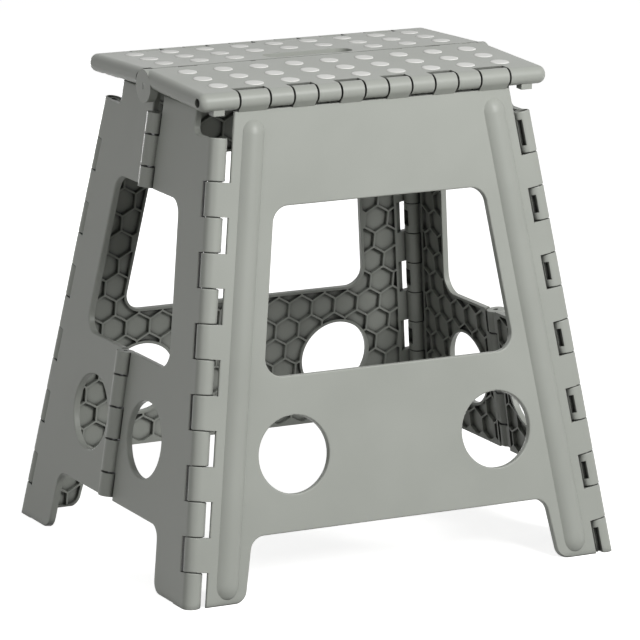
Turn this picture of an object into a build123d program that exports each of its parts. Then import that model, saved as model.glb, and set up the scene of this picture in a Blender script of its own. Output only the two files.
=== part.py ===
from build123d import *
from math import acos, atan, cos, degrees, hypot, radians, sin, sqrt, tan
import os

os.makedirs("parts", exist_ok=True)

# Overall sizes of the standing stool, measured on its outer faces, in millimetres
seam_height = 390.0
base_half_width = 190.0
base_half_depth = 157.7
side_slope = 0.1424
front_slope = 0.1640
half_length = 151.5
top_tilt = radians(2.06)

# Moulding thicknesses
panel_thickness = 5.2
skin_thickness = 2.0
rim_width = 2.2
rib_width = 1.5
cell_middle = 152.5
cell_across = 21.3
edge_round = 1.2

# Hinge barrels, pins and the gaps between them
corner_radius = 7.5
corner_gap = 1.9
barrel_gap = 1.6
lip_thickness = 0.7
relief_width = 4.6
mid_radius = 7.4
mid_standoff = 0.3
mid_gap = 0.8
top_radius = 7.25
top_gap = 1.0
notch_gap = 1.2
knuckle_gap = 1.6
corner_knuckle_gap = 0.5
knuckle_round = 0.9
collar_radius = 5.6
collar_height = 1.3
collar_gap = 0.3
pin_radius = 2.5
pin_fit = 0.1
mid_pin_radius = 2.0
mid_pin_play = 0.5
pin_end_gap = 3.0
web_overlap = 6.0

# Corner knuckles, as heights above the floor
corner_high = 318.0
corner_low = 26.3
corner_spans = 11
corner_top = 350.5
slot_inset = 6.2
front_slot_side = 4.7
front_slot_width = 3.0
front_slot_depth = 6.0
inner_slot_width = 7.0
inner_slot_depth = 4.2

# Centre hinge of the top
centre_height = 376.8
seam_gap = 0.9
lug_radius = 8.0
lug_width = 12.0
lug_centres = (-118.0, -60.0, 46.0, 104.0)
ear_radius = 13.0
ear_width = 7.0
ear_gap = 1.0
ear_cap = 2.0
ear_slit_length = 5.5
ear_slit_width = 0.9
ear_slit_depth = 1.2
seam_slits = ((-114.0, 17.0), (-57.0, 5.0), (71.0, 9.0), (103.0, 14.0), (134.0, 8.0))
seam_slit_width = 1.6
centre_play = 2.1
seam_zone = 11.5

# Knuckles of the top hinges
hinge_half = 118.0
end_knuckle = 26.0
inner_knuckles = 9
mouth_radius = 3.5
mouth_depth = 12.0
end_round = 6.0

# Front and back leg panels
window_low = 168.0
window_high = 296.5
window_half_high = 92.0
window_corner = 14.0
hole_radius = 30.3
hole_height = 107.6
leg_hole_x = 89.0
arch_height = 49.0
arch_corner = 12.0
leg_arch_half = 129.5
leg_foot_half = 139.0
foot_round = 11.0
bead_width = 18.5
bead_height = 4.5
bead_reach = 26.6
bead_low = 4.0
bead_high = 364.0
bead_dive = 11.0
bead_root = 0.3
ramp_drop = 9.5

# Side panels
side_top = 370.0
side_shoulder = 66.0
shoulder_corner = 6.0
side_window_half = 55.5
side_hole_y = 49.5
side_arch_half = 91.5
side_foot_half = 99.0
mid_upper = (356.0, 338.6, 313.4, 296.0)
mid_lower = (168.0, 148.8, 123.2, 97.5, 71.0, 51.0)

# Handle slot in the back half of the top
slot_half = 38.0
slot_near = 4.5
slot_far = 26.0
slot_wall = 3.5
slot_corner = 9.0

# Grip dots
dot_radius = 7.5
dot_sink = 0.6
dot_proud = 0.6
dot_edge = 0.35
dot_pitch_x = 30.9
dot_pitch_y = 26.8
dot_first = 20.8
dot_columns = 9
dot_rows = 3
handle_columns = (3, 4, 5)

# Stops under the outer corners of the front half of the top
stop_length = 9.5
stop_width = 8.0
stop_height = 3.4
stop_x = 134.5

# Sizes that follow from the ones above
front_lean = atan(front_slope)
side_lean = atan(side_slope)
rib_depth = panel_thickness - skin_thickness
edge_reach = corner_radius + corner_gap
socket_radius = corner_radius + barrel_gap
lip_reach = sqrt(socket_radius**2 - (corner_radius - lip_thickness) ** 2)
front_taper = side_slope * cos(front_lean)
side_taper = front_slope * cos(side_lean)
corner_x = base_half_width - corner_radius / cos(side_lean)
corner_y = base_half_depth - corner_radius / cos(front_lean)
corner_stretch = sqrt(1 + side_slope**2 + front_slope**2)
corner_pitch = (corner_high - corner_low) / corner_spans
corner_marks = [corner_high - corner_pitch * n for n in range(corner_spans + 1)]
half_gap = knuckle_gap / 2
corner_half_gap = corner_knuckle_gap / 2
leg_corner_spans = [(corner_marks[n + 1], corner_marks[n]) for n in range(0, corner_spans, 2)]
side_corner_spans = [(corner_marks[n + 1], corner_marks[n]) for n in range(1, corner_spans, 2)]
side_corner_spans += [(corner_high, corner_top + corner_half_gap), (-corner_pitch, corner_low)]
tilt_rise = top_radius / cos(top_tilt) + base_half_depth * tan(top_tilt)
top_hinge_z = (seam_height - tilt_rise) / (1 - front_slope * tan(top_tilt))
top_hinge_y = base_half_depth - front_slope * top_hinge_z
notch_reach = top_radius + notch_gap
inner_knuckle = 2 * (hinge_half - end_knuckle) / inner_knuckles
inner_marks = [end_knuckle - hinge_half + inner_knuckle * n for n in range(inner_knuckles + 1)]
hinge_marks = [-hinge_half] + inner_marks + [hinge_half]
leg_hinge_spans = [(hinge_marks[n], hinge_marks[n + 1]) for n in range(0, inner_knuckles + 2, 2)]
centre_p = top_hinge_y * cos(top_tilt) + (centre_height - top_hinge_z) * sin(top_tilt)
centre_q = (centre_height - top_hinge_z) * cos(top_tilt) - top_hinge_y * sin(top_tilt)
seam_p = centre_p - seam_gap / 2
zone_p = centre_p - seam_zone
skin_under = top_radius - skin_thickness
below_floor = -2 * panel_thickness
bead_bend = (bead_dive**2 - bead_height**2) / (2 * bead_height)
bead_sink = degrees(acos(bead_bend / (bead_bend + bead_height)))

# Planes of the outer faces: local x runs along the panel, local y up it, local z outwards
front_face = Plane((0, -base_half_depth, 0), (1, 0, 0), (0, -cos(front_lean), sin(front_lean)))
left_face = Plane((-base_half_width, 0, 0), (0, -1, 0), (-cos(side_lean), 0, sin(side_lean)))
top_hinge_spot = (0, -top_hinge_y, top_hinge_z)
tread_face = Plane(top_hinge_spot, (1, 0, 0), (0, -sin(top_tilt), cos(top_tilt)))

# Planes across the top hinge line: one squared to the tread, one to the leg panel
tread_section = Plane(top_hinge_spot, (0, cos(top_tilt), sin(top_tilt)), (1, 0, 0))
leg_section = Plane(top_hinge_spot, (0, cos(front_lean), -sin(front_lean)), (1, 0, 0))


def front_up(height):
    """Distance up the front face at a height above the floor."""
    return height / cos(front_lean)


def side_up(height):
    """Distance up the side face at a height above the floor."""
    return height / cos(side_lean)


def leg_edge(height, reach):
    """Half width of a leg panel at a height, a reach inside the corner hinge line."""
    rise = front_up(height) - corner_radius * tan(front_lean)
    return corner_x - front_taper * rise - reach * hypot(1, front_taper)


def side_edge(height, reach):
    """Half depth of a side at a height, a reach inside the corner hinge line."""
    rise = side_up(height) - corner_radius * tan(side_lean)
    return corner_y - side_taper * rise - reach * hypot(1, side_taper)


def corner_line(hand_x, hand_y):
    """Direction of a corner hinge line, pointing up."""
    return Vector(-hand_x * side_slope, -hand_y * front_slope, 1).normalized()


def corner_plane(hand_x, hand_y, across):
    """Plane across a corner hinge line at floor level, with its x axis along one panel."""
    return Plane((hand_x * corner_x, hand_y * corner_y, 0), across, corner_line(hand_x, hand_y))


def foot_arch(arch_half, foot_half, rise):
    """Corners of a foot arch that opens to a foot half width at the floor and runs on below it."""
    low_half = 2 * foot_half - arch_half
    return [(-low_half, -rise), (-arch_half, rise), (arch_half, rise), (low_half, -rise)]


def knuckle(length, outward, with_collars):
    """Corner knuckle: a barrel with rounded ends and the web that joins it to its panel.

    Knuckles of the legs have a collar at each end, which turns in a recess of the side's knuckle.
    """
    with BuildPart() as barrel:
        Cylinder(corner_radius, length, align=(Align.CENTER, Align.CENTER, Align.MIN))
        fillet(barrel.edges().filter_by(GeomType.CIRCLE), knuckle_round)
        with BuildSketch():
            with Locations((0, outward * (corner_radius - panel_thickness / 2))):
                web_length = edge_reach + web_overlap
                Rectangle(web_length, panel_thickness, align=(Align.MIN, Align.CENTER))
        extrude(amount=length)
        if with_collars:
            with Locations((0, 0, length / 2)):
                Cylinder(collar_radius, length + 2 * collar_height)
        else:
            with Locations((0, 0, 0), (0, 0, length)):
                Cylinder(collar_radius + collar_gap, 2 * collar_height, mode=Mode.SUBTRACT)
    return barrel.part


def corner_knuckles(spans, outward, with_collars):
    """Knuckles for a list of height spans, each with its start along the corner hinge line."""
    knuckles = []
    for low, high in spans:
        start = (low + corner_half_gap) * corner_stretch
        length = (high - low - corner_knuckle_gap) * corner_stretch
        knuckles.append((start, length, knuckle(length, outward, with_collars)))
    return knuckles


def honeycomb(region, columns, rows, middle):
    """Hexagonal cells filling a flat region, all a rim width inside its edges."""
    inside = offset(region, amount=-rim_width, kind=Kind.INTERSECTION, mode=Mode.PRIVATE)
    row_pitch = cell_across * sqrt(3)
    shift = (middle[0] + cell_across / 2, middle[1] + row_pitch / 2)
    with BuildSketch() as cells:
        with Locations(middle, shift):
            with GridLocations(cell_across, row_pitch, columns, rows):
                RegularPolygon((cell_across - rib_width) / 2, 6, major_radius=False, rotation=30)
    clipped = inside & cells.sketch
    return [face for face in clipped.faces() if face.area > cell_across]


# Outline of a leg panel, with its window, round holes and foot arch
leg_top = front_up(top_hinge_z) - top_radius - top_gap
leg_low_half = leg_edge(0, edge_reach)
leg_high_half = leg_edge(leg_top * cos(front_lean), edge_reach)
window_half_low = window_half_high + side_slope * (window_high - window_low)
with BuildSketch(front_face) as leg_outline:
    with BuildLine():
        Polyline(
            (-leg_low_half, 0),
            (leg_low_half, 0),
            (leg_high_half, leg_top),
            (-leg_high_half, leg_top),
            close=True,
        )
    make_face()
    with BuildLine():
        FilletPolyline(
            (-window_half_low, front_up(window_low)),
            (window_half_low, front_up(window_low)),
            (window_half_high, front_up(window_high)),
            (-window_half_high, front_up(window_high)),
            radius=window_corner,
            close=True,
        )
    make_face(mode=Mode.SUBTRACT)
    with Locations((-leg_hole_x, front_up(hole_height)), (leg_hole_x, front_up(hole_height))):
        Circle(hole_radius, mode=Mode.SUBTRACT)
    with BuildLine():
        arch = foot_arch(leg_arch_half, leg_foot_half, front_up(arch_height))
        FilletPolyline(*arch, radius=arch_corner, close=True)
    make_face(mode=Mode.SUBTRACT)
    foot_corners = leg_outline.vertices().group_by(Axis.Y)[0].sort_by(Axis.X)
    fillet(foot_corners[1:3], foot_round)
rib_low_half = leg_edge(below_floor, edge_reach + relief_width)
rib_high_half = leg_edge(leg_top * cos(front_lean), edge_reach + relief_width)
with BuildSketch() as leg_ribs:
    add(leg_outline.sketch_local)
    with BuildLine():
        Polyline(
            (-rib_low_half, front_up(below_floor)),
            (rib_low_half, front_up(below_floor)),
            (rib_high_half, leg_top),
            (-rib_high_half, leg_top),
            close=True,
        )
    make_face(mode=Mode.INTERSECT)
leg_cells = honeycomb(leg_ribs.sketch, 20, 12, (cell_across / 2, front_up(cell_middle)))

# Front leg panel: ribbed plate, two raised beads, top knuckles and corner knuckles
with BuildPart() as front_leg_panel:
    extrude(leg_outline.sketch, amount=-panel_thickness)
    outer_face = front_leg_panel.faces().sort_by(Axis(front_face.origin, front_face.z_dir))[-1]
    fillet(outer_face.edges(), edge_round)
    relief_reach = edge_reach + relief_width
    for hand in (-1, 1):
        with BuildSketch(front_face.offset(-panel_thickness)):
            with BuildLine():
                Polyline(
                    (hand * leg_edge(below_floor, 0), front_up(below_floor)),
                    (hand * leg_edge(below_floor, relief_reach), front_up(below_floor)),
                    (hand * leg_edge(seam_height, relief_reach), front_up(seam_height)),
                    (hand * leg_edge(seam_height, 0), front_up(seam_height)),
                    close=True,
                )
            make_face()
        extrude(amount=rib_depth, mode=Mode.SUBTRACT)
    for hand in (-1, 1):
        low_rise = bead_low + bead_dive
        high_rise = bead_high - bead_dive
        low_local = (hand * leg_edge(low_rise, bead_reach), front_up(low_rise), 0)
        high_local = (hand * leg_edge(high_rise, bead_reach), front_up(high_rise), 0)
        low_spot = front_face.from_local_coords(low_local)
        high_spot = front_face.from_local_coords(high_local)
        bead_line = (high_spot - low_spot).normalized()
        bead_across = front_face.z_dir.cross(bead_line)
        bend_depth = front_face.z_dir * bead_bend
        bead_plane = Plane(low_spot, bead_across, bead_line)
        with BuildSketch(bead_plane) as bead_profile:
            with BuildLine():
                ThreePointArc((-bead_width / 2, 0), (0, bead_height), (bead_width / 2, 0))
                Polyline(
                    (bead_width / 2, 0),
                    (bead_width / 2, -bead_root),
                    (-bead_width / 2, -bead_root),
                    (-bead_width / 2, 0),
                )
            make_face()
        extrude(bead_profile.sketch, amount=(high_spot - low_spot).length)
        low_bend = Axis(low_spot - bend_depth, bead_across * -1)
        revolve(bead_profile.sketch, axis=low_bend, revolution_arc=bead_sink)
        high_profile = bead_profile.sketch.moved(Location(high_spot - low_spot))
        revolve(high_profile, axis=Axis(high_spot - bend_depth, bead_across), revolution_arc=bead_sink)
    tangent_x = -top_radius * sqrt(1 - (top_radius / ramp_drop) ** 2)
    tangent_y = -top_radius**2 / ramp_drop
    for start, end in leg_hinge_spans:
        with BuildSketch(leg_section.offset(start + half_gap)):
            Circle(top_radius)
            with BuildLine():
                Polyline(
                    (0, 0),
                    (tangent_x, tangent_y),
                    (0, -ramp_drop),
                    (panel_thickness, -ramp_drop),
                    (panel_thickness, 0),
                    close=True,
                )
            make_face()
        extrude(amount=end - start - knuckle_gap)
    with BuildSketch(leg_section.offset(-hinge_half)):
        Circle(pin_radius + pin_fit)
    extrude(amount=2 * hinge_half, mode=Mode.SUBTRACT)
    for hand in (-1, 1):
        line = corner_line(hand, -1)
        across = front_face.z_dir.cross(line).normalized()
        if across.X * hand > 0:
            across = across * -1
        section = corner_plane(hand, -1, across)
        outward = 1 if section.y_dir.dot(front_face.z_dir) > 0 else -1
        for start, length, barrel in corner_knuckles(leg_corner_spans, outward, True):
            with Locations(section.offset(start).location):
                add(barrel)
        with BuildSketch(section):
            Circle(pin_radius + pin_fit)
        extrude(amount=corner_top * corner_stretch, mode=Mode.SUBTRACT)
    with BuildSketch(front_face.offset(-panel_thickness)):
        add(leg_cells)
    extrude(amount=rib_depth, mode=Mode.SUBTRACT)
    split(bisect_by=Plane.XY, keep=Keep.TOP)

with BuildPart() as back_leg_panel:
    add(front_leg_panel.part.rotate(Axis.Z, 180))


def side_outline(hand):
    """Outline of one half of the left side: hand is 1 for the front half, -1 for the back."""
    mid_edge = mid_radius + mid_gap
    low_edge = side_edge(0, lip_reach)
    top_edge = side_edge(corner_top, lip_reach)
    window_low_half = side_window_half + front_slope * (window_high - window_low)
    with BuildSketch(left_face) as outline:
        with BuildLine():
            Polyline(
                (hand * mid_edge, 0),
                (hand * low_edge, 0),
                (hand * top_edge, side_up(corner_top)),
                (hand * side_shoulder, side_up(corner_top)),
                (hand * side_shoulder, side_up(side_top)),
                (hand * mid_edge, side_up(side_top)),
                close=True,
            )
        make_face()
        shoulder = outline.vertices().sort_by_distance((hand * side_shoulder, side_up(corner_top), 0))[0]
        fillet(shoulder, shoulder_corner)
        with BuildLine():
            FilletPolyline(
                (-window_low_half, side_up(window_low)),
                (window_low_half, side_up(window_low)),
                (side_window_half, side_up(window_high)),
                (-side_window_half, side_up(window_high)),
                radius=window_corner,
                close=True,
            )
        make_face(mode=Mode.SUBTRACT)
        with Locations((hand * side_hole_y, side_up(hole_height))):
            Circle(hole_radius, mode=Mode.SUBTRACT)
        with BuildLine():
            arch = foot_arch(side_arch_half, side_foot_half, side_up(arch_height))
            FilletPolyline(*arch, radius=arch_corner, close=True)
        make_face(mode=Mode.SUBTRACT)
        foot_corner = outline.vertices().sort_by_distance((hand * side_foot_half, 0, 0))[0]
        fillet(foot_corner, foot_round)
    return outline


def side_panel(hand, mid_spans, mid_bore):
    """One half of the left side: ribbed plate, corner knuckles and knuckles of the mid hinge."""
    outline = side_outline(hand)
    rib_low = side_edge(below_floor, socket_radius)
    rib_high = side_edge(seam_height, socket_radius)
    with BuildSketch() as ribs:
        add(outline.sketch_local)
        with BuildLine():
            Polyline(
                (0, side_up(below_floor)),
                (hand * rib_low, side_up(below_floor)),
                (hand * rib_high, side_up(seam_height)),
                (0, side_up(seam_height)),
                close=True,
            )
        make_face(mode=Mode.INTERSECT)
    cells = honeycomb(ribs.sketch, 10, 12, (hand * base_half_depth / 2, side_up(cell_middle)))
    line = corner_line(-1, -hand)
    across = left_face.z_dir.cross(line).normalized()
    if across.Y * hand < 0:
        across = across * -1
    section = corner_plane(-1, -hand, across)
    outward = 1 if section.y_dir.dot(left_face.z_dir) > 0 else -1
    mid_spot = left_face.from_local_coords((0, 0, mid_standoff))
    mid_section = Plane(mid_spot, (0, -hand, 0), left_face.y_dir)
    mid_web = mid_radius + mid_gap + web_overlap
    with BuildPart() as panel:
        extrude(outline.sketch, amount=-panel_thickness)
        fillet(panel.faces().sort_by(Axis(left_face.origin, left_face.z_dir))[-1].edges(), edge_round)
        with BuildSketch(section.offset(2 * below_floor)):
            Circle(socket_radius)
        extrude(amount=seam_height - 2 * below_floor, mode=Mode.SUBTRACT)
        for start, length, barrel in corner_knuckles(side_corner_spans, outward, False):
            with Locations(section.offset(start).location):
                add(barrel)
            with BuildSketch(section.offset(start + slot_inset)):
                if hand > 0:
                    with Locations((0, -outward * corner_radius)):
                        Rectangle(inner_slot_width, 2 * inner_slot_depth)
                else:
                    with Locations((-corner_radius, -outward * front_slot_side)):
                        Rectangle(2 * front_slot_depth, front_slot_width)
            extrude(amount=length - 2 * slot_inset, mode=Mode.SUBTRACT)
        with BuildSketch(section.offset(below_floor)):
            Circle(pin_radius + pin_fit)
        extrude(amount=seam_height - below_floor, mode=Mode.SUBTRACT)
        for high, low in mid_spans:
            with BuildSketch(mid_section.offset(side_up(low + half_gap))):
                Circle(mid_radius)
                with BuildLine():
                    Polyline(
                        (0, hand * mid_standoff),
                        (mid_web, hand * mid_standoff),
                        (mid_web, hand * (mid_standoff + panel_thickness)),
                        (0, hand * (mid_standoff + panel_thickness)),
                        close=True,
                    )
                make_face()
            extrude(amount=side_up(high - low - knuckle_gap))
        with BuildSketch(mid_section):
            Circle(mid_bore)
        extrude(amount=side_up(side_top), mode=Mode.SUBTRACT)
        with BuildSketch(left_face.offset(-panel_thickness)):
            add(cells)
        extrude(amount=rib_depth, mode=Mode.SUBTRACT)
        split(bisect_by=Plane.XY, keep=Keep.TOP)
    return panel


# Side panels: the left halves are modelled, the right halves are the same mouldings turned round
front_mid_spans = [mid_upper[1:3], mid_lower[1:3], mid_lower[3:5]]
back_mid_spans = [mid_upper[0:2], mid_upper[2:4], mid_lower[0:2], mid_lower[2:4], mid_lower[4:6]]
left_front_panel = side_panel(1, front_mid_spans, mid_pin_radius + mid_pin_play)
left_back_panel = side_panel(-1, back_mid_spans, mid_pin_radius + pin_fit)
with BuildPart() as right_back_panel:
    add(left_front_panel.part.rotate(Axis.Z, 180))
with BuildPart() as right_front_panel:
    add(left_back_panel.part.rotate(Axis.Z, 180))


def dot_spots(with_handle):
    """Centres of the grip dots on one half of the top."""
    spots = []
    for row in range(dot_rows):
        for column in range(dot_columns):
            over_handle = with_handle and row == 0 and column in handle_columns
            if not over_handle:
                x = (column - (dot_columns - 1) / 2) * dot_pitch_x
                spots.append((x, centre_p - dot_first - row * dot_pitch_y))
    return spots


def top_half(with_handle, centre_bore):
    """One half of the top in the front position: ribbed tread, knuckles, lugs and ear."""
    with BuildSketch() as rib_region:
        with Locations((0, (notch_reach + zone_p) / 2)):
            Rectangle(2 * half_length, zone_p - notch_reach)
        if with_handle:
            with Locations((0, zone_p)):
                wall_far = slot_far - seam_zone + slot_wall
                Rectangle(2 * (slot_half + slot_wall), 2 * wall_far, mode=Mode.SUBTRACT)
    cells = honeycomb(rib_region.sketch, 16, 4, (0, centre_p / 2))
    with BuildPart() as half:
        with BuildSketch(tread_section):
            Circle(top_radius)
            with Locations((0, -top_radius)):
                Rectangle(seam_p, 2 * top_radius, align=(Align.MIN, Align.MIN))
        extrude(amount=half_length, both=True)
        end_edges = half.faces().filter_by(Axis.X).edges()
        fillet(end_edges.filter_by(lambda edge: edge.center().Y < -1.5 * seam_gap), end_round)
        for start, end in leg_hinge_spans:
            with BuildSketch(tread_section.offset(start - half_gap)):
                with Locations((notch_reach, 0)):
                    Rectangle(4 * top_radius, 4 * top_radius, align=(Align.MAX, Align.CENTER))
            extrude(amount=end - start + knuckle_gap, mode=Mode.SUBTRACT)
        channel_half = half_length - ear_width
        with BuildSketch(tread_section.offset(-channel_half)):
            with Locations((zone_p, skin_under)):
                Rectangle(2 * seam_zone, 4 * top_radius, align=(Align.MIN, Align.MAX))
        extrude(amount=2 * channel_half, mode=Mode.SUBTRACT)
        for centre in lug_centres:
            with BuildSketch(tread_section.offset(centre - lug_width / 2)):
                with Locations((centre_p, centre_q)):
                    Circle(lug_radius)
                with BuildLine():
                    Polyline(
                        (centre_p - lug_radius, centre_q),
                        (seam_p, centre_q),
                        (seam_p, skin_under),
                        (centre_p - lug_radius, skin_under),
                        close=True,
                    )
                make_face()
            extrude(amount=lug_width)
        with BuildSketch(tread_section.offset(-half_length)):
            with Locations((centre_p, centre_q)):
                Circle(ear_radius)
        extrude(amount=ear_width)
        with BuildSketch(tread_section.offset(half_length - ear_width - knuckle_gap)):
            with Locations((centre_p, centre_q)):
                Circle(ear_radius + ear_gap)
        extrude(amount=2 * ear_width, mode=Mode.SUBTRACT)
        with BuildSketch(tread_section.offset(ear_cap - half_length)):
            with Locations((centre_p, centre_q)):
                Circle(centre_bore)
        extrude(amount=2 * (half_length - ear_cap), mode=Mode.SUBTRACT)
        with BuildSketch(tread_section.offset(-half_length)):
            Circle(pin_radius + pin_fit)
        extrude(amount=2 * half_length - mouth_depth, mode=Mode.SUBTRACT)
        with BuildSketch(tread_section.offset(-half_length)):
            Circle(mouth_radius)
        extrude(amount=mouth_depth, mode=Mode.SUBTRACT)
        with BuildSketch(tread_section.offset(-half_length)):
            with Locations((centre_p, centre_q)):
                SlotOverall(ear_slit_length, ear_slit_width, rotation=90)
        extrude(amount=ear_slit_depth, mode=Mode.SUBTRACT)
        if not with_handle:
            with BuildSketch(tread_face.offset(top_radius)):
                for slit_x, slit_length in seam_slits:
                    with Locations((slit_x, seam_p)):
                        Rectangle(slit_length, 2 * seam_slit_width)
            extrude(amount=-skin_thickness - knuckle_gap, mode=Mode.SUBTRACT)
            for hand in (-1, 1):
                with BuildSketch(tread_face.offset(-top_radius - stop_height)):
                    with Locations((hand * stop_x, 0)):
                        Rectangle(stop_length, stop_width)
                extrude(amount=stop_height + skin_thickness)
        if with_handle:
            with BuildSketch(tread_face.offset(-2 * top_radius)):
                with Locations((0, centre_p - (slot_near + slot_far) / 2)):
                    RectangleRounded(2 * slot_half, slot_far - slot_near, slot_corner)
            extrude(amount=4 * top_radius, mode=Mode.SUBTRACT)
        with BuildSketch(tread_face.offset(top_radius)):
            with Locations(*dot_spots(with_handle)):
                Circle(dot_radius)
        extrude(amount=-dot_sink, mode=Mode.SUBTRACT)
        with BuildSketch(tread_face.offset(-top_radius)):
            add(cells)
        extrude(amount=2 * top_radius - skin_thickness, mode=Mode.SUBTRACT)
    return half


def grip_dots(with_handle):
    """Round grip dots of one half of the top, set into shallow sinks in the tread."""
    with BuildPart() as dots:
        with BuildSketch(tread_face.offset(top_radius - dot_sink)):
            with Locations(*dot_spots(with_handle)):
                Circle(dot_radius)
        extrude(amount=dot_sink + dot_proud)
        fillet(dots.faces().filter_by(tread_face).edges().group_by(SortBy.DISTANCE)[-1], dot_edge)
    return dots


# The two halves of the top: the back half carries the handle slot and is turned round into place
top_front_half = top_half(False, pin_radius + centre_play)
turned_back_half = top_half(True, pin_radius + pin_fit)
with BuildPart() as top_back_half:
    add(turned_back_half.part.rotate(Axis.Z, 180))
front_grip_dots = grip_dots(False)
turned_back_dots = grip_dots(True)
with BuildPart() as back_grip_dots:
    add(turned_back_dots.part.rotate(Axis.Z, 180))


def rod(section, start, length, radius):
    """Straight hinge pin along the normal of a plane."""
    with BuildPart() as pin:
        with BuildSketch(section.offset(start)):
            Circle(radius)
        extrude(amount=length)
    return pin


# Hinge pins of the top
pin_half = half_length - mouth_depth - pin_end_gap
front_hinge_pin = rod(tread_section, -pin_half, 2 * pin_half, pin_radius)
with BuildPart() as back_hinge_pin:
    add(front_hinge_pin.part.rotate(Axis.Z, 180))
centre_section = Plane((0, 0, centre_height), (0, 1, 0), (1, 0, 0))
centre_half = half_length - ear_width / 2
centre_hinge_pin = rod(centre_section, -centre_half, 2 * centre_half, pin_radius)

# Corner pins, from inside the foot to inside the top knuckle of the side
corner_pin_low = 2 * pin_end_gap
corner_pin_length = (corner_top - pin_end_gap - corner_pin_low) * corner_stretch
corner_pins = {}
for hand_x, hand_y, place in ((-1, -1, "front_left"), (1, -1, "front_right")):
    section = corner_plane(hand_x, hand_y, front_face.z_dir)
    corner_pins[place] = rod(section, corner_pin_low * corner_stretch, corner_pin_length, pin_radius)
for place, twin in (("back_right", "front_left"), ("back_left", "front_right")):
    with BuildPart() as turned_pin:
        add(corner_pins[twin].part.rotate(Axis.Z, 180))
    corner_pins[place] = turned_pin

# Pins of the side mid hinges, one above and one below the window
mid_spot = left_face.from_local_coords((0, 0, mid_standoff))
mid_section = Plane(mid_spot, (0, -1, 0), left_face.y_dir)
mid_pins = {}
for level, marks in (("upper", mid_upper), ("lower", mid_lower)):
    low = side_up(marks[-1] + pin_end_gap)
    high = side_up(marks[0] - pin_end_gap)
    mid_pins["left_" + level] = rod(mid_section, low, high - low, mid_pin_radius)
    with BuildPart() as turned_pin:
        add(mid_pins["left_" + level].part.rotate(Axis.Z, 180))
    mid_pins["right_" + level] = turned_pin

# One file for each piece
pieces = {
    "front_leg_panel": front_leg_panel,
    "back_leg_panel": back_leg_panel,
    "left_front_panel": left_front_panel,
    "left_back_panel": left_back_panel,
    "right_front_panel": right_front_panel,
    "right_back_panel": right_back_panel,
    "top_front_half": top_front_half,
    "top_back_half": top_back_half,
    "front_grip_dots": front_grip_dots,
    "back_grip_dots": back_grip_dots,
    "front_hinge_pin": front_hinge_pin,
    "back_hinge_pin": back_hinge_pin,
    "centre_hinge_pin": centre_hinge_pin,
}
for place, pin in corner_pins.items():
    pieces["corner_pin_" + place] = pin
for place, pin in mid_pins.items():
    pieces["mid_pin_" + place] = pin
for name, piece in pieces.items():
    piece.part.label = name
    export_step(piece.part, "parts/" + name + ".step")
    print(name, "solids", len(piece.part.solids()), "volume", round(piece.part.volume))
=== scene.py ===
# %% [markdown]
# # A folding step stool
# The stool is moulded in one grey plastic: two leg panels, four side panels that fold
# inwards, and a top in two halves with pale grip dots. The solid pieces arrive ready-made,
# in metres, each at its own place. This lesson lights them, gives them their finishes and
# rebuilds the grip dots as soft domed pads.

# %% Load the stool
import bpy
import math
from mathutils import Matrix, Vector


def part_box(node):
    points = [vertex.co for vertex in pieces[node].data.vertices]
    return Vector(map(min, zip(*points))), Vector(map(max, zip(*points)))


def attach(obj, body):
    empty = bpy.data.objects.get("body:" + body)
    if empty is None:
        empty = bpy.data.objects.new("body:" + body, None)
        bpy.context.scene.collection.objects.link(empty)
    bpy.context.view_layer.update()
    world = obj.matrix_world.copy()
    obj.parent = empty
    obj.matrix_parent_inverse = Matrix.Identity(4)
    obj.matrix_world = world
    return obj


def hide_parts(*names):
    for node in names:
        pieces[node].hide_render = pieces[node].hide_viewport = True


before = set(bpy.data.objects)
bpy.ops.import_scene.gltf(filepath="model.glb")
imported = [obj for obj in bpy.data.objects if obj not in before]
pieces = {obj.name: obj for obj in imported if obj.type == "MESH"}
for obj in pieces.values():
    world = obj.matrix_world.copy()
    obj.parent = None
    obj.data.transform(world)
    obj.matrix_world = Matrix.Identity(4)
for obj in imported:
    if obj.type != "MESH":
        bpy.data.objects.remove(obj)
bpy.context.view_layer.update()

# %% [markdown]
# ## The camera
# A product photograph like this one is taken with a long lens from a few metres away, so that
# the legs stay nearly parallel. The place and the turn of the camera were worked out from the
# knuckles, holes and feet. A camera could be aimed with a Track To constraint, but a matrix
# made from its right, up and back directions also holds the slight roll of the picture.

# %% Camera
MM = 0.001
focal_pixels, picture_pixels, sensor_width = 4673.9, 640, 36.0
turn, rise, roll = (math.radians(a) for a in (-27.503, 13.271, 0.483))
aim = Vector((5.79, 1.67, 174.08)) * MM
distance = 3742.9 * MM

back = Vector((math.sin(turn) * math.cos(rise), -math.cos(turn) * math.cos(rise), math.sin(rise)))
level = Vector((math.cos(turn), math.sin(turn), 0))
upward = back.cross(level)
right = level * math.cos(roll) + upward * math.sin(roll)
up = upward * math.cos(roll) - level * math.sin(roll)

camera_data = bpy.data.cameras.new("long_lens")
camera_data.sensor_width = sensor_width
camera_data.lens = focal_pixels * sensor_width / picture_pixels
camera_data.clip_end = 60
camera = bpy.data.objects.new("camera", camera_data)
spot = aim + back * distance
camera.matrix_world = Matrix((right, up, back)).transposed().to_4x4()
camera.matrix_world.translation = spot
bpy.context.collection.objects.link(camera)
bpy.context.scene.camera = camera
print("lens mm:", round(camera_data.lens, 1), "camera at:", [round(v, 3) for v in spot])

# %% [markdown]
# ## Small tools
# Colours are picked as the hex values a screen shows, and Blender calculates with linear light,
# so one function converts them. A second function adds a node, sets its values and links its
# inputs, which keeps every material short enough to read. An input is given by its name, or by
# its number where a node has several of one name: on a colour Mix, 6 and 7 are the two colours.

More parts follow.
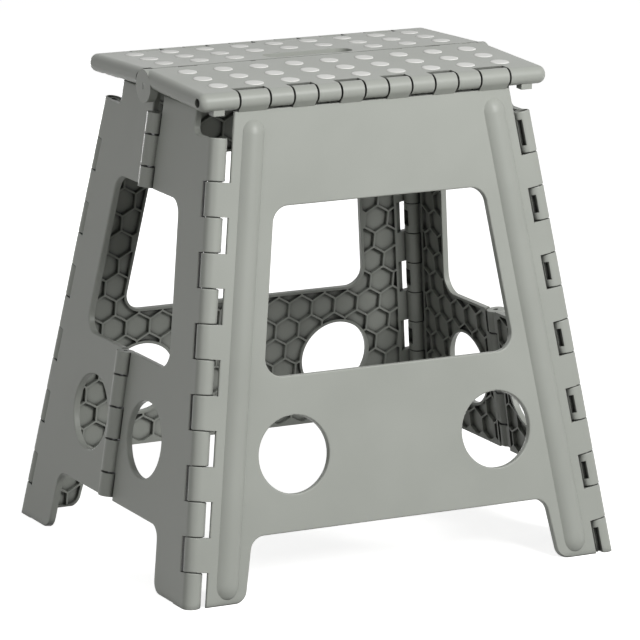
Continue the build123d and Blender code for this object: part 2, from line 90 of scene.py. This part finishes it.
# %% Helpers for colours and nodes
def linear(hex_colour):
    """sRGB hex to linear RGBA."""
    parts = [int(hex_colour[i:i + 2], 16) / 255 for i in (1, 3, 5)]
    return [p / 12.92 if p <= 0.04045 else ((p + 0.055) / 1.055) ** 2.4 for p in parts] + [1.0]


def add_node(tree, kind, settings=None, **inputs):
    """Adds a node. Settings are its properties; inputs are values or the output sockets to link."""
    node = tree.nodes.new(kind)
    for name, value in (settings or {}).items():
        setattr(node, name, value)
    for name, value in inputs.items():
        key = int(name[1:]) if name[1:].isdigit() else name.replace("_", " ")
        if isinstance(value, bpy.types.NodeSocket):
            tree.links.new(value, node.inputs[key])
        else:
            node.inputs[key].default_value = value
    return node


def new_material(name):
    """An empty node material and its tree."""
    material = bpy.data.materials.new(name)
    material.use_nodes = True
    material.node_tree.nodes.clear()
    return material, material.node_tree


print("white in linear light:", linear("#FFFFFF"))

# %% [markdown]
# ## Floor and light
# The stool stands on a plain white sweep. One soft box to the right of the camera lights the
# front and the top. Weaker ones fill the left side and the top, and a low wide one lights the back
# from below the level of the top, so that it leaves no shine there. Floor and world are white to
# the camera and in reflections and dimmer as lights, which Light Path tells apart, so the picture
# has a white ground, the floor still takes the shadow, and the stool keeps its dark inner side.

# %% Which rays see the white surroundings
def seen_white(tree):
    """1 for rays that show the surroundings, straight or reflected, and 0 for rays that light things."""
    ray = add_node(tree, "ShaderNodeLightPath").outputs
    largest = {"operation": "MAXIMUM"}
    bent = add_node(
        tree, "ShaderNodeMath", largest, _0=ray["Is Glossy Ray"], _1=ray["Is Transmission Ray"])
    return add_node(
        tree, "ShaderNodeMath", largest, _0=ray["Is Camera Ray"], _1=bent.outputs[0]).outputs[0]


# %% Floor
reach, floor_lift = 12.0, 0.80
corners = [(x * reach, y * reach, 0) for x, y in ((-1, -1), (1, -1), (1, 1), (-1, 1))]
floor_mesh = bpy.data.meshes.new("floor")
floor_mesh.from_pydata(corners, [], [(0, 1, 2, 3)])
floor = bpy.data.objects.new("floor", floor_mesh)
bpy.context.collection.objects.link(floor)

paper, tree = new_material("white_paper_sweep")
seen = seen_white(tree)
shade = add_node(
    tree, "ShaderNodeMix", {"data_type": "RGBA"}, Factor=seen, _6=linear("#757573"), _7=linear("#F4F4F2"))
matt = add_node(tree, "ShaderNodeBsdfDiffuse", Color=shade.outputs[2])
lift = add_node(tree, "ShaderNodeMath", {"operation": "MULTIPLY"}, _0=seen, _1=floor_lift)
glow = add_node(tree, "ShaderNodeEmission", Color=(1, 1, 1, 1), Strength=lift.outputs[0])
both = add_node(tree, "ShaderNodeAddShader", _0=matt.outputs[0], _1=glow.outputs[0])
add_node(tree, "ShaderNodeOutputMaterial", Surface=both.outputs[0])
floor_mesh.materials.append(paper)
print("floor metres:", 2 * reach)

# %% World
fill_strength = 0.17
world = bpy.data.worlds.new("studio")
bpy.context.scene.world = world
world.use_nodes = True
tree = world.node_tree
tree.nodes.clear()
strength = add_node(
    tree, "ShaderNodeMapRange", Value=seen_white(tree), To_Min=fill_strength, To_Max=1.0)
sky = add_node(tree, "ShaderNodeBackground", Color=(1, 1, 1, 1), Strength=strength.outputs[0])
add_node(tree, "ShaderNodeOutputWorld", Surface=sky.outputs[0])
bpy.context.scene.view_settings.view_transform = "Standard"
print("fill:", fill_strength)


# %% Soft boxes
stool_middle = Vector((0, 0, 0.2))


def add_lamp(name, place, width, height, watts):
    """A soft box at a place in metres, facing the middle of the stool."""
    data = bpy.data.lights.new(name, "AREA")
    data.shape = "RECTANGLE"
    data.size, data.size_y, data.energy = width, height, watts
    lamp = bpy.data.objects.new(name, data)
    lamp.location = place
    lamp.rotation_euler = (stool_middle - Vector(place)).to_track_quat("-Z", "Y").to_euler()
    bpy.context.collection.objects.link(lamp)


add_lamp("key_soft_box", (0.5, -1.6, 1.25), 0.9, 0.9, 29)
add_lamp("side_soft_box", (-1.5, -0.8, 0.85), 0.9, 0.9, 4.4)
add_lamp("top_soft_box", (0.2, 0.3, 2.6), 1.8, 1.8, 2.0)
add_lamp("back_soft_box", (0.15, 1.8, 0.15), 0.8, 0.22, 11)
print("lamps:", len(bpy.data.lights))

# %% [markdown]
# ## Moulded polypropylene
# Every panel is injection-moulded polypropylene: a waxy, satin plastic with no pattern of its
# own. What the eye reads is a soft broad highlight, a very fine grain left by the etched mould,
# slow changes of gloss where the plastic cooled unevenly, and edges that are a little rounded
# and rubbed paler. The grain is about 0.4 mm on the real thing, which is too fine for this
# picture, so it is drawn at 1.6 mm and kept shallow. A Bevel node rounds the edges in the light
# without touching the solid meshes, and an Ambient Occlusion node finds the narrow joints,
# where the colour is darkened as painted shade.

# %% Plastic for the panels
edge_radius = 0.7 * MM
joint_reach = 8.0 * MM


def moulded_polypropylene(name, body_hex, pale_hex, rubbed_hex, painted_shade_hex):
    """Satin grey plastic with mould grain, uneven gloss, rubbed edges and painted shade in the joints."""
    material, tree = new_material(name)
    place = add_node(tree, "ShaderNodeTexCoord").outputs["Object"]
    noise = {}
    for label, size_mm, detail in (("grain", 1.6, 2.0), ("cooling", 70.0, 3.0), ("scuff", 9.0, 4.0)):
        pattern = add_node(tree, "ShaderNodeTexNoise", Vector=place, Scale=1 / (size_mm * MM), Detail=detail)
        noise[label] = pattern.outputs["Fac"]
    slow = add_node(tree, "ShaderNodeMapRange", Value=noise["cooling"], From_Min=0.3, From_Max=0.7)
    blush = add_node(
        tree, "ShaderNodeMix", {"data_type": "RGBA"}, Factor=slow.outputs[0],
        _6=linear(body_hex), _7=linear(pale_hex))
    rounded = add_node(tree, "ShaderNodeBevel", {"samples": 4}, Radius=edge_radius).outputs[0]
    facing = add_node(tree, "ShaderNodeNewGeometry").outputs["Normal"]
    turned = add_node(tree, "ShaderNodeVectorMath", {"operation": "DOT_PRODUCT"}, _0=rounded, _1=facing)
    edge = add_node(
        tree, "ShaderNodeMapRange", Value=turned.outputs["Value"], From_Min=0.995, From_Max=0.8,
        To_Min=0.0, To_Max=0.35)
    rubbed = add_node(
        tree, "ShaderNodeMath", {"operation": "MULTIPLY"}, _0=edge.outputs[0], _1=noise["scuff"])
    worn = add_node(
        tree, "ShaderNodeMix", {"data_type": "RGBA"}, Factor=rubbed.outputs[0],
        _6=blush.outputs[2], _7=linear(rubbed_hex))
    # Painted shade: where the Ambient Occlusion node finds narrow joints, pin mouths and rib corners, the
    # colour is darkened towards a near-black painted shade.
    openness = add_node(tree, "ShaderNodeAmbientOcclusion", {"samples": 6}, Distance=joint_reach)
    painted_shade_mask = add_node(
        tree, "ShaderNodeMapRange", Value=openness.outputs["AO"], From_Min=0.82, From_Max=0.35,
        To_Min=0.0, To_Max=0.9)
    colour = add_node(
        tree, "ShaderNodeMix", {"data_type": "RGBA"}, Factor=painted_shade_mask.outputs[0],
        _6=worn.outputs[2], _7=linear(painted_shade_hex))
    gloss = add_node(tree, "ShaderNodeMapRange", Value=slow.outputs[0], To_Min=0.32, To_Max=0.42)
    bump = add_node(
        tree, "ShaderNodeBump", Strength=0.10, Distance=0.05 * MM, Height=noise["grain"], Normal=rounded)
    shader = add_node(
        tree, "ShaderNodeBsdfPrincipled", Base_Color=colour.outputs[2], Roughness=gloss.outputs[0],
        IOR=1.49, Specular_IOR_Level=0.3, Normal=bump.outputs[0])
    add_node(tree, "ShaderNodeOutputMaterial", Surface=shader.outputs[0])
    return material


# The last colour, near black, is the painted shade in the joints and crevices.
panel_plastic = moulded_polypropylene(
    "moulded_polypropylene", "#A9ACA5", "#AEB1AA", "#C9CCC6", "#2A2B28")
print("panel plastic nodes:", len(panel_plastic.node_tree.nodes))

# %% [markdown]
# ## Hinge pins
# The pins are drawn steel wire. Little of them shows while the stool stands: an end in a mouth of
# the top hinge, a glint in a gap between knuckles. The centre pin comes into view as the top folds.
# Drawing leaves fine lines along the wire. Here a noise stands for them and makes the gloss uneven.

# %% Steel for the pins
drawn_steel, tree = new_material("drawn_steel_wire")
place = add_node(tree, "ShaderNodeTexCoord").outputs["Object"]
streak = add_node(tree, "ShaderNodeTexNoise", Vector=place, Scale=1 / (1.5 * MM), Detail=3.0).outputs["Fac"]
sheen = add_node(
    tree, "ShaderNodeMapRange", Value=streak, From_Min=0.3, From_Max=0.7, To_Min=0.28, To_Max=0.45)
tint = add_node(
    tree, "ShaderNodeMix", {"data_type": "RGBA"}, Factor=streak, _6=linear("#8C8D8E"), _7=linear("#A3A4A4"))
lines = add_node(tree, "ShaderNodeBump", Strength=0.2, Distance=0.02 * MM, Height=streak)
steel = add_node(
    tree, "ShaderNodeBsdfPrincipled", Base_Color=tint.outputs[2], Metallic=1.0,
    Roughness=sheen.outputs[0], Normal=lines.outputs[0])
add_node(tree, "ShaderNodeOutputMaterial", Surface=steel.outputs[0])
print("steel ready")

# %% [markdown]
# ## Dress the panels and pins
# The solid pieces keep their shapes, so they only change their material.

# %% Materials on the solid pieces
for name, piece in pieces.items():
    finish = drawn_steel if "pin" in name else panel_plastic
    piece.data.materials.clear()
    piece.data.materials.append(finish)
print("dressed:", len(pieces))

# %% [markdown]
# ## Grip dots
# The dots are pads of soft pale rubber, bonded into shallow sinks in the tread so that a shoe
# grips. They repeat on a grid, which is what Geometry Nodes do well: a grid gives the places, one
# pad is copied to each, and a switch leaves out the three places where the handle slot is. The
# pad is a sphere squeezed into a puck, flat on top with a soft rim.

# %% Rubber for the dots
grip_rubber, tree = new_material("soft_grip_rubber")
place = add_node(tree, "ShaderNodeTexCoord").outputs["Object"]
pores = add_node(tree, "ShaderNodeTexNoise", Vector=place, Scale=1 / (1.2 * MM), Detail=2.0).outputs["Fac"]
soil = add_node(tree, "ShaderNodeTexNoise", Vector=place, Scale=1 / (14.0 * MM), Detail=3.0).outputs["Fac"]
tint = add_node(
    tree, "ShaderNodeMix", {"data_type": "RGBA"}, Factor=soil, _6=linear("#F2F2EE"), _7=linear("#FAFAF7"))
matt = add_node(
    tree, "ShaderNodeMapRange", Value=pores, From_Min=0.3, From_Max=0.7, To_Min=0.62, To_Max=0.75)
skin = add_node(tree, "ShaderNodeBump", Strength=0.15, Distance=0.06 * MM, Height=pores)
rubber = add_node(
    tree, "ShaderNodeBsdfPrincipled", Base_Color=tint.outputs[2], Roughness=matt.outputs[0], IOR=1.5,
    Normal=skin.outputs[0])
add_node(tree, "ShaderNodeOutputMaterial", Surface=rubber.outputs[0])
print("rubber ready")

# %% Node tree for the dots: its inputs
dot_tree = bpy.data.node_groups.new("grip_dots", "GeometryNodeTree")
dot_inputs = {
    "Columns": "Int", "Rows": "Int", "Pitch": "Vector", "Radius": "Float", "Height": "Float",
    "Handle Gap": "Bool", "Place": "Vector", "Turn": "Vector"}
for label, kind in dot_inputs.items():
    dot_tree.interface.new_socket(label, in_out="INPUT", socket_type="NodeSocket" + kind)
dot_tree.interface.new_socket("Dots", in_out="OUTPUT", socket_type="NodeSocketGeometry")
given = add_node(dot_tree, "NodeGroupInput").outputs
print("inputs:", list(dot_inputs))

# %% Node tree for the dots: a grid of places, less the three at the handle slot
count = add_node(dot_tree, "ShaderNodeCombineXYZ", X=given["Columns"], Y=given["Rows"])
steps = add_node(
    dot_tree, "ShaderNodeVectorMath", {"operation": "SUBTRACT"}, _0=count.outputs[0], _1=(1, 1, 0))
span = add_node(
    dot_tree, "ShaderNodeVectorMath", {"operation": "MULTIPLY"}, _0=steps.outputs[0], _1=given["Pitch"])
side = add_node(dot_tree, "ShaderNodeSeparateXYZ", Vector=span.outputs[0]).outputs
grid = add_node(
    dot_tree, "GeometryNodeMeshGrid", Size_X=side["X"], Size_Y=side["Y"], Vertices_X=given["Columns"],
    Vertices_Y=given["Rows"])
here = add_node(dot_tree, "GeometryNodeInputPosition").outputs[0]
step = add_node(dot_tree, "ShaderNodeVectorMath", {"operation": "DIVIDE"}, _0=here, _1=given["Pitch"])
step = add_node(dot_tree, "ShaderNodeSeparateXYZ", Vector=step.outputs[0]).outputs
aside = add_node(dot_tree, "ShaderNodeMath", {"operation": "ABSOLUTE"}, _0=step["X"])
middle = add_node(dot_tree, "ShaderNodeMath", {"operation": "LESS_THAN"}, _0=aside.outputs[0], _1=1.5)
first_row = add_node(dot_tree, "ShaderNodeMath", {"operation": "GREATER_THAN"}, _0=step["Y"], _1=0.5)
over = add_node(
    dot_tree, "ShaderNodeMath", {"operation": "MULTIPLY"}, _0=middle.outputs[0], _1=first_row.outputs[0])
missing = add_node(
    dot_tree, "ShaderNodeMath", {"operation": "MULTIPLY"}, _0=over.outputs[0], _1=given["Handle Gap"])
places = add_node(
    dot_tree, "GeometryNodeDeleteGeometry", {"domain": "POINT"}, Geometry=grid.outputs["Mesh"],
    Selection=missing.outputs[0])
print("layout nodes:", len(dot_tree.nodes))

# %% Node tree for the dots: one pad, copied to every place
ball = add_node(dot_tree, "GeometryNodeMeshUVSphere", Segments=36, Rings=14, Radius=1.0)
part = add_node(dot_tree, "ShaderNodeSeparateXYZ", Vector=here).outputs
half = add_node(dot_tree, "ShaderNodeMath", {"operation": "SIGN"}, _0=part["Z"])
depth = add_node(dot_tree, "ShaderNodeMath", {"operation": "ABSOLUTE"}, _0=part["Z"])
depth = add_node(dot_tree, "ShaderNodeMath", {"operation": "POWER"}, _0=depth.outputs[0], _1=0.4)
flat = add_node(
    dot_tree, "ShaderNodeMath", {"operation": "MULTIPLY"}, _0=half.outputs[0], _1=depth.outputs[0])
puck = add_node(dot_tree, "ShaderNodeCombineXYZ", X=part["X"], Y=part["Y"], Z=flat.outputs[0])
size = add_node(dot_tree, "ShaderNodeCombineXYZ", X=given["Radius"], Y=given["Radius"], Z=given["Height"])
squeezed = add_node(
    dot_tree, "ShaderNodeVectorMath", {"operation": "MULTIPLY"}, _0=puck.outputs[0], _1=size.outputs[0])
pad = add_node(
    dot_tree, "GeometryNodeSetPosition", Geometry=ball.outputs["Mesh"], Position=squeezed.outputs[0])
soft = add_node(dot_tree, "GeometryNodeSetShadeSmooth", Geometry=pad.outputs[0])
copies = add_node(
    dot_tree, "GeometryNodeInstanceOnPoints", Points=places.outputs[0], Instance=soft.outputs[0])
turned = add_node(
    dot_tree, "GeometryNodeTransform", Geometry=copies.outputs[0], Translation=given["Place"],
    Rotation=given["Turn"])
real = add_node(dot_tree, "GeometryNodeRealizeInstances", Geometry=turned.outputs[0])
coated = add_node(dot_tree, "GeometryNodeSetMaterial", Geometry=real.outputs[0], Material=grip_rubber)
add_node(dot_tree, "NodeGroupOutput", Dots=coated.outputs[0])
print("all dot nodes:", len(dot_tree.nodes))


# %% Make the dots on both halves
tread_tilt = math.radians(2.06)
dot_pitch = Vector((30.9, 26.8, 0)) * MM
dot_radius, dot_half_height = 7.5 * MM, 0.6 * MM


def lay_dots(name, node, body, handle_gap, heading):
    """Runs the dot tree at the place of a solid set of dots and keeps the result as a plain mesh."""
    low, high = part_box(node)
    centre = (low + high) / 2
    values = {
        "Columns": 9, "Rows": 3, "Pitch": dot_pitch, "Radius": dot_radius, "Height": dot_half_height,
        "Handle Gap": handle_gap, "Place": centre, "Turn": (tread_tilt, 0, heading)}
    draft = bpy.data.objects.new(name + "_draft", bpy.data.meshes.new(name + "_draft"))
    bpy.context.collection.objects.link(draft)
    modifier = draft.modifiers.new("dots", "NODES")
    modifier.node_group = dot_tree
    for socket in dot_tree.interface.items_tree:
        if socket.in_out == "INPUT":
            modifier[socket.identifier] = values[socket.name]
    evaluated = draft.evaluated_get(bpy.context.evaluated_depsgraph_get())
    mesh = bpy.data.meshes.new_from_object(evaluated)
    bpy.data.objects.remove(draft)
    dots = bpy.data.objects.new(name, mesh)
    bpy.context.collection.objects.link(dots)
    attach(dots, body)
    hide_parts(node)
    print(name, "faces:", len(mesh.polygons), "centre mm:", [round(v / MM, 1) for v in centre])


lay_dots("front_grip_pads", "front_grip_dots", "top_front", False, 0.0)
lay_dots("back_grip_pads", "back_grip_dots", "top_back", True, math.pi)
